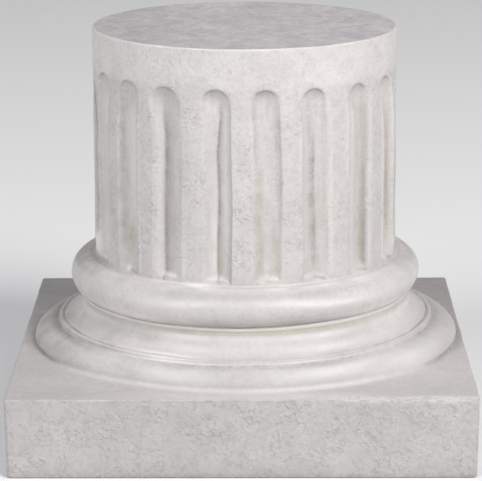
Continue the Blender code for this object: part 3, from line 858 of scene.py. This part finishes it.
# ------------------------------------------------------------ the finish
class Graph:
    """Short hand for a material's node tree."""

    def __init__(self, name):
        self.material = bpy.data.materials.new(name)
        self.material.use_nodes = True
        self.tree = self.material.node_tree
        self.tree.nodes.clear()
        self.n = 0

    def node(self, kind, **settings):
        made = self.tree.nodes.new(kind)
        made.location = (220 * (self.n % 12), -260 * (self.n // 12))
        self.n += 1
        for key, value in settings.items():
            setattr(made, key, value)
        return made

    def wire(self, source, target):
        self.tree.links.new(source, target)

    def feed(self, socket, value):
        if hasattr(value, "links"):
            self.wire(value, socket)
        elif isinstance(value, (tuple, list)) and len(value) == 3 and socket.type == "RGBA":
            socket.default_value = (*value, 1.0)
        else:
            socket.default_value = value

    def math(self, op, a, b=0.0, c=0.0, clamp=False):
        made = self.node("ShaderNodeMath", operation=op, use_clamp=clamp)
        self.feed(made.inputs[0], a)
        self.feed(made.inputs[1], b)
        self.feed(made.inputs[2], c)
        return made.outputs[0]

    def mix(self, factor, a, b, blend="MIX"):
        made = self.node("ShaderNodeMix", data_type="RGBA", blend_type=blend)
        self.feed(made.inputs[0], factor)
        self.feed(made.inputs[6], a)
        self.feed(made.inputs[7], b)
        return made.outputs[2]

    def remap(self, value, low, high, to_low=0.0, to_high=1.0, smooth_step=True):
        made = self.node("ShaderNodeMapRange")
        made.interpolation_type = "SMOOTHSTEP" if smooth_step else "LINEAR"
        self.feed(made.inputs[0], value)
        for i, v in enumerate((low, high, to_low, to_high)):
            self.feed(made.inputs[i + 1], v)
        return made.outputs[0]

    def attribute(self, name):
        return self.node("ShaderNodeAttribute", attribute_name=name).outputs["Fac"]

    def stretch(self, vector, scale, turn=(0.0, 0.0, 0.0)):
        made = self.node("ShaderNodeMapping", vector_type="POINT")
        self.wire(vector, made.inputs["Vector"])
        made.inputs["Rotation"].default_value = turn
        made.inputs["Scale"].default_value = scale
        return made.outputs[0]

    def vector(self, op, a, b=(0.0, 0.0, 0.0)):
        made = self.node("ShaderNodeVectorMath", operation=op)
        self.feed(made.inputs[0], a)
        if op == "SCALE":
            self.feed(made.inputs["Scale"], b)
        elif op not in ("NORMALIZE", "LENGTH"):
            self.feed(made.inputs[1], b)
        return made.outputs["Value" if op in ("DOT_PRODUCT", "LENGTH") else "Vector"]

    def dashes(self, vector, facing, scale, reach, width, share, shift):
        """Short strokes lying along the surface in all directions, one to a cell."""
        moved = self.vector("ADD", vector, shift)
        cells = self.node("ShaderNodeTexVoronoi", feature="F1")
        self.wire(moved, cells.inputs["Vector"])
        cells.inputs["Scale"].default_value = scale
        away = self.vector("SUBTRACT", moved, cells.outputs["Position"])
        wild = self.vector("SUBTRACT", cells.outputs["Color"], (0.5, 0.5, 0.5))
        sideways = self.vector("NORMALIZE", self.vector("CROSS_PRODUCT", facing, wild))
        ahead = self.vector("CROSS_PRODUCT", facing, sideways)
        chance = self.node("ShaderNodeSeparateColor")
        self.wire(cells.outputs["Color"], chance.inputs[0])
        a = self.math("ABSOLUTE", self.vector("DOT_PRODUCT", away, ahead))
        c = self.vector("DOT_PRODUCT", away, sideways)
        over = self.math("MAXIMUM", self.math("SUBTRACT", a, self.math(
            "MULTIPLY_ADD", chance.outputs[0], reach * 0.7, reach * 0.3)), 0.0)
        far = self.math("SQRT", self.math("MULTIPLY_ADD", over, over,
                                          self.math("MULTIPLY", c, c)))
        mark = self.remap(far, width, width * 0.30)
        return self.math("MULTIPLY", mark, self.remap(
            chance.outputs[1], share, share * 0.75))

    def clouds(self, vector, scale, detail=2.0, rough=0.5, warp=0.0):
        made = self.node("ShaderNodeTexNoise")
        self.wire(vector, made.inputs["Vector"])
        made.inputs["Scale"].default_value = scale
        made.inputs["Detail"].default_value = detail
        made.inputs["Roughness"].default_value = rough
        made.inputs["Distortion"].default_value = warp
        return made.outputs["Fac"]


g = Graph("brushed_cast_stone")
coords = g.node("ShaderNodeTexCoord")
where, facing = coords.outputs["Object"], coords.outputs["Normal"]
m_dirt_and_shade, m_olive, m_warm = g.attribute("dirt_and_shade"), g.attribute("olive"), g.attribute("warm")
m_wear_and_highlight, m_streak, m_top = g.attribute("wear_and_highlight"), g.attribute("streak"), g.attribute("topmark")
m_stipple, m_painted_light_shade = g.attribute("stipple"), g.attribute("painted_light_shade")
m_line, m_line_s = g.attribute("line"), g.attribute("line_s")
m_thin, m_thin_s = g.attribute("thin"), g.attribute("thin_s")
m_yellow, m_gloss, m_even = g.attribute("yellow"), g.attribute("gloss"), g.attribute("even")
m_slab = g.attribute("slab")

broad = g.clouds(where, 17.0, 3.0, 0.55)
middle = g.clouds(where, 85.0, 3.0, 0.6)
grain = g.clouds(where, 480.0, 3.0, 0.65)
fleck = g.clouds(where, 300.0, 1.5, 0.5, 0.6)

# short strokes of the brush in all directions, a little bent and broken
bend = g.node("ShaderNodeTexNoise")
g.wire(where, bend.inputs["Vector"])
bend.inputs["Scale"].default_value = 260.0
bend.inputs["Detail"].default_value = 1.0
bent = g.vector("ADD", where, g.vector("SCALE", g.vector(
    "SUBTRACT", bend.outputs["Color"], (0.5, 0.5, 0.5)), 0.0044))
thick = g.clouds(where, 46.0, 3.0, 0.55)
dash_a = g.dashes(bent, facing, 150.0, 0.0030, 0.00125, 0.80, (0.31, 0.17, 0.53))
dash_b = g.dashes(bent, facing, 240.0, 0.0016, 0.00105, 0.60, (0.73, 0.41, 0.29))
dash_c = g.dashes(bent, facing, 190.0, 0.0024, 0.00120, 0.75, (0.11, 0.67, 0.83))
dash_d = g.dashes(g.vector("ADD", where, g.vector("SCALE", g.vector(
    "SUBTRACT", bend.outputs["Color"], (0.5, 0.5, 0.5)), 0.0020)), facing,
    74.0, 0.0085, 0.00190, 0.70, (0.47, 0.59, 0.07))
frayed = g.remap(fleck, 0.36, 0.58, 0.25, 1.0)
long_mark = g.math("MULTIPLY", g.math("MULTIPLY", dash_d, m_slab),
                   g.remap(fleck, 0.34, 0.56, 0.35, 1.0))
stroke_dark = g.math("MAXIMUM", g.math("MULTIPLY", dash_a, g.remap(thick, 0.38, 0.60, 0.15, 1.10)),
                     g.math("MULTIPLY", dash_b, g.remap(thick, 0.36, 0.58, 0.25, 0.80)))
stroke_dark = g.math("MULTIPLY", stroke_dark, frayed)
stroke_light = g.math("MULTIPLY", dash_c, g.math(
    "MULTIPLY", g.remap(fleck, 0.60, 0.42, 0.25, 1.0), g.remap(thick, 0.38, 0.58, 0.30, 1.1)))

# streaks that run down the flutes, and across the round top
down = g.clouds(g.stretch(where, (1.0, 1.0, 0.07)), 300.0, 3.0, 0.55)
across = g.clouds(g.stretch(where, (0.85, 0.55, 1.0), (0.0, 0.0, 0.05)), 95.0, 5.0, 0.74, 0.8)
scratch = g.clouds(g.stretch(where, (0.75, 0.60, 1.0), (0.0, 0.0, -0.06)), 330.0, 2.0, 0.5)
tint = g.clouds(g.stretch(where, (0.80, 0.55, 1.0)), 34.0, 2.0, 0.5)

# colour
tone = g.mix(g.remap(broad, 0.30, 0.70), (0.592, 0.572, 0.564), (0.655, 0.634, 0.620))
tone = g.mix(g.remap(middle, 0.36, 0.68, 0.0, 0.42), tone, (0.535, 0.514, 0.506))
tone = g.mix(g.remap(grain, 0.38, 0.66, 0.0, 0.20), tone, (0.440, 0.420, 0.405))
tone = g.mix(g.math("MULTIPLY", g.remap(fleck, 0.48, 0.66), g.math(
    "MULTIPLY_ADD", m_stipple, 0.14, 0.06)), tone, (0.380, 0.360, 0.345))
tone = g.mix(g.math("MULTIPLY", stroke_dark, g.math(
    "MULTIPLY", m_stipple, 0.22)), tone, (0.335, 0.318, 0.300))
tone = g.mix(g.math("MULTIPLY", long_mark, 0.085), tone, (0.335, 0.318, 0.300))
tone = g.mix(g.math("MULTIPLY", stroke_light, g.math("MULTIPLY", m_stipple, 0.30)),
             tone, (0.745, 0.728, 0.705))
tone = g.mix(g.math("MULTIPLY", g.remap(down, 0.54, 0.34), g.math(
    "MULTIPLY", m_streak, 0.20)), tone, (0.400, 0.382, 0.368))
# the round top: violet-grey, streaked across, toned darker than the drum, partly painted shade on its upward face
disc_tone = g.mix(g.remap(broad, 0.35, 0.65), (0.560, 0.536, 0.560), (0.600, 0.580, 0.585))
disc_tone = g.mix(g.remap(tint, 0.40, 0.60, 0.0, 0.55), disc_tone, (0.612, 0.592, 0.580))
disc_tone = g.mix(g.remap(tint, 0.46, 0.30, 0.0, 0.60), disc_tone, (0.490, 0.468, 0.478))
disc_tone = g.mix(g.remap(across, 0.40, 0.62, 0.0, 0.55), disc_tone, (0.430, 0.408, 0.416))
disc_tone = g.mix(g.remap(across, 0.44, 0.32, 0.0, 0.35), disc_tone, (0.690, 0.668, 0.665))
disc_tone = g.mix(g.remap(scratch, 0.46, 0.68, 0.0, 0.26), disc_tone, (0.400, 0.380, 0.385))
disc_tone = g.mix(g.remap(scratch, 0.44, 0.30, 0.0, 0.22), disc_tone, (0.740, 0.720, 0.715))
tone = g.mix(m_top, tone, disc_tone)

# washes and painted shade, broken up by the streaks and the grain
broken = g.math("ADD", g.math("MULTIPLY", grain, 0.6), g.math("MULTIPLY", middle, 0.6))
broken = g.remap(broken, 0.48, 0.72, 0.45, 1.0)
wash_and_shade = g.math("MULTIPLY", m_dirt_and_shade, broken)
tone = g.mix(g.math("MULTIPLY", wash_and_shade, 0.74), tone, (0.232, 0.218, 0.202))
ahead_of = g.remap(m_line, -0.30, 0.08)
fading = g.math("POWER", g.remap(m_line, 1.0, 0.0, smooth_step=False), 2.2)
cut = g.math("MULTIPLY", g.math("MULTIPLY", ahead_of, fading), g.math(
    "MULTIPLY", m_line_s, g.remap(broken, 0.45, 1.0, 0.72, 1.0)))
tone = g.mix(g.math("MULTIPLY", cut, 0.80), tone, (0.225, 0.208, 0.190))
sharp = g.math("SUBTRACT", 1.0, g.math("MULTIPLY", m_thin, m_thin), clamp=True)
sharp = g.math("MULTIPLY", sharp, m_thin_s)
tone = g.mix(g.math("MULTIPLY", sharp, 0.72), tone, (0.260, 0.240, 0.220))
stain = g.math("MULTIPLY", m_olive, g.remap(middle, 0.30, 0.62, 0.40, 1.0))
tone = g.mix(g.math("MULTIPLY", stain, 0.50), tone, (0.420, 0.405, 0.280))
tone = g.mix(g.math("MULTIPLY", m_yellow, g.remap(middle, 0.30, 0.60, 0.35, 0.62)),
             tone, (0.520, 0.505, 0.375))
rust = g.math("MULTIPLY", m_warm, g.remap(down, 0.30, 0.60, 0.4, 1.0))
tone = g.mix(g.math("MULTIPLY", rust, 0.50), tone, (0.520, 0.400, 0.300))
pale_breakup = g.remap(g.math("ADD", g.math("MULTIPLY", middle, 0.6), g.math("MULTIPLY", grain, 0.5)),
               0.42, 0.62, 0.15, 1.0)
pale_breakup = g.math("ADD", g.math("MULTIPLY", pale_breakup, g.math("SUBTRACT", 1.0, m_even)),
              g.math("MULTIPLY", m_even, 0.68))
pale_wear_and_highlight = g.math("MULTIPLY", m_wear_and_highlight, pale_breakup)
# pale colour of the wear and the painted highlights
tone = g.mix(pale_wear_and_highlight, tone, (0.815, 0.800, 0.785))
# the painted light and shade multiplies the colour
tone = g.mix(1.0, tone, m_painted_light_shade, "MULTIPLY")
tone = g.mix(1.0, tone, (1.000, 0.988, 0.990), "MULTIPLY")

# relief
height = g.math("SUBTRACT", stroke_light, g.math("MAXIMUM", stroke_dark, g.math(
    "MULTIPLY", long_mark, 0.75)))
height = g.math("MULTIPLY", height, g.math("MULTIPLY", m_stipple, g.math(
    "MULTIPLY_ADD", m_slab, 0.14, 0.54)))
calm = g.math("MULTIPLY_ADD", m_gloss, -0.55, 1.0)
height = g.math("ADD", height, g.math("MULTIPLY", g.math("MULTIPLY_ADD", middle, 0.40, g.math(
    "MULTIPLY", grain, 0.22)), calm))
relief = g.node("ShaderNodeBump")
relief.inputs["Strength"].default_value = 0.80
relief.inputs["Distance"].default_value = 0.0006
g.wire(height, relief.inputs["Height"])

skin = g.node("ShaderNodeBsdfPrincipled")
g.wire(tone, skin.inputs["Base Color"])
dull = g.math("SUBTRACT", g.remap(middle, 0.3, 0.7, 0.62, 0.80), g.math(
    "MULTIPLY", pale_wear_and_highlight, g.math("MULTIPLY_ADD", m_gloss, 0.14, 0.08)))
g.wire(g.math("SUBTRACT", dull, g.math("MULTIPLY", m_gloss, 0.18)), skin.inputs["Roughness"])
skin.inputs["Specular IOR Level"].default_value = 0.35
skin.inputs["IOR"].default_value = 1.48
g.wire(relief.outputs[0], skin.inputs["Normal"])
out = g.node("ShaderNodeOutputMaterial")
g.wire(skin.outputs[0], out.inputs["Surface"])
mesh.materials.append(g.material)

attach(casting, "root")
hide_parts("pedestal")

# ---------------------------------------------------------------- stage
floor_mesh = bpy.data.meshes.new("floor")
floor_mesh.from_pydata([(-7, -7, -0.0005), (7, -7, -0.0005), (7, 7, -0.0005), (-7, 7, -0.0005)],
                       [], [(0, 1, 2, 3)])
floor = bpy.data.objects.new("floor", floor_mesh)
bpy.context.scene.collection.objects.link(floor)
f = Graph("pale_floor")
paint = f.node("ShaderNodeBsdfPrincipled")
paint.inputs["Base Color"].default_value = (0.96, 0.96, 0.96, 1.0)
paint.inputs["Roughness"].default_value = 0.9
paint.inputs["Specular IOR Level"].default_value = 0.1
end = f.node("ShaderNodeOutputMaterial")
f.wire(paint.outputs[0], end.inputs["Surface"])
floor_mesh.materials.append(f.material)

world = bpy.data.worlds.new("studio")
bpy.context.scene.world = world
world.use_nodes = True
world.node_tree.nodes["Background"].inputs["Color"].default_value = (0.97, 0.98, 1.0, 1.0)
world.node_tree.nodes["Background"].inputs["Strength"].default_value = 0.30


def soft_light(name, azimuth, elevation, distance, size, power, colour=(1, 1, 1)):
    lamp = bpy.data.lights.new(name, "AREA")
    lamp.shape = "DISK"
    lamp.size = size
    lamp.energy = power
    lamp.color = colour
    obj = bpy.data.objects.new(name, lamp)
    a, e = radians(azimuth), radians(elevation)
    target = Vector((0.0, 0.0, 0.15))
    obj.location = target + distance * Vector((cos(e) * sin(a), -cos(e) * cos(a), sin(e)))
    obj.rotation_euler = (target - obj.location).to_track_quat("-Z", "Y").to_euler()
    bpy.context.scene.collection.objects.link(obj)
    return obj


soft_light("key", 40, 38, 5.0, 2.4, 178.0, (1.0, 0.993, 0.985))
soft_light("fill", -44, 38, 5.0, 2.8, 94.0, (0.965, 0.97, 1.0))

# --------------------------------------------------------------- camera
FOCAL = 2490.95                  # in pixels of the 482 wide frame
DISTANCE, ASIDE, LEVEL = 1.88429, 0.01276, 0.60519
PITCH_DOWN, YAW, ROLL = 0.24449, -0.00741, -0.00363
cp, sp, cy, sy = cos(PITCH_DOWN), sin(PITCH_DOWN), cos(YAW), sin(YAW)
ahead = Vector((sy * cp, cy * cp, -sp))
right = Vector((cy, -sy, 0.0))
above = right.cross(ahead)
right_r = cos(ROLL) * right + sin(ROLL) * above
above_r = -sin(ROLL) * right + cos(ROLL) * above
camera = bpy.data.objects.new("camera", bpy.data.cameras.new("camera"))
camera.matrix_world = Matrix((
    (right_r.x, above_r.x, -ahead.x, ASIDE),
    (right_r.y, above_r.y, -ahead.y, -DISTANCE),
    (right_r.z, above_r.z, -ahead.z, LEVEL),
    (0, 0, 0, 1)))
camera.data.sensor_fit = "HORIZONTAL"
camera.data.sensor_width = 36.0
camera.data.lens = FOCAL / 482 * 36.0
camera.data.clip_start = 0.05
bpy.context.scene.collection.objects.link(camera)
bpy.context.scene.camera = camera
bpy.context.scene.view_settings.view_transform = "Standard"
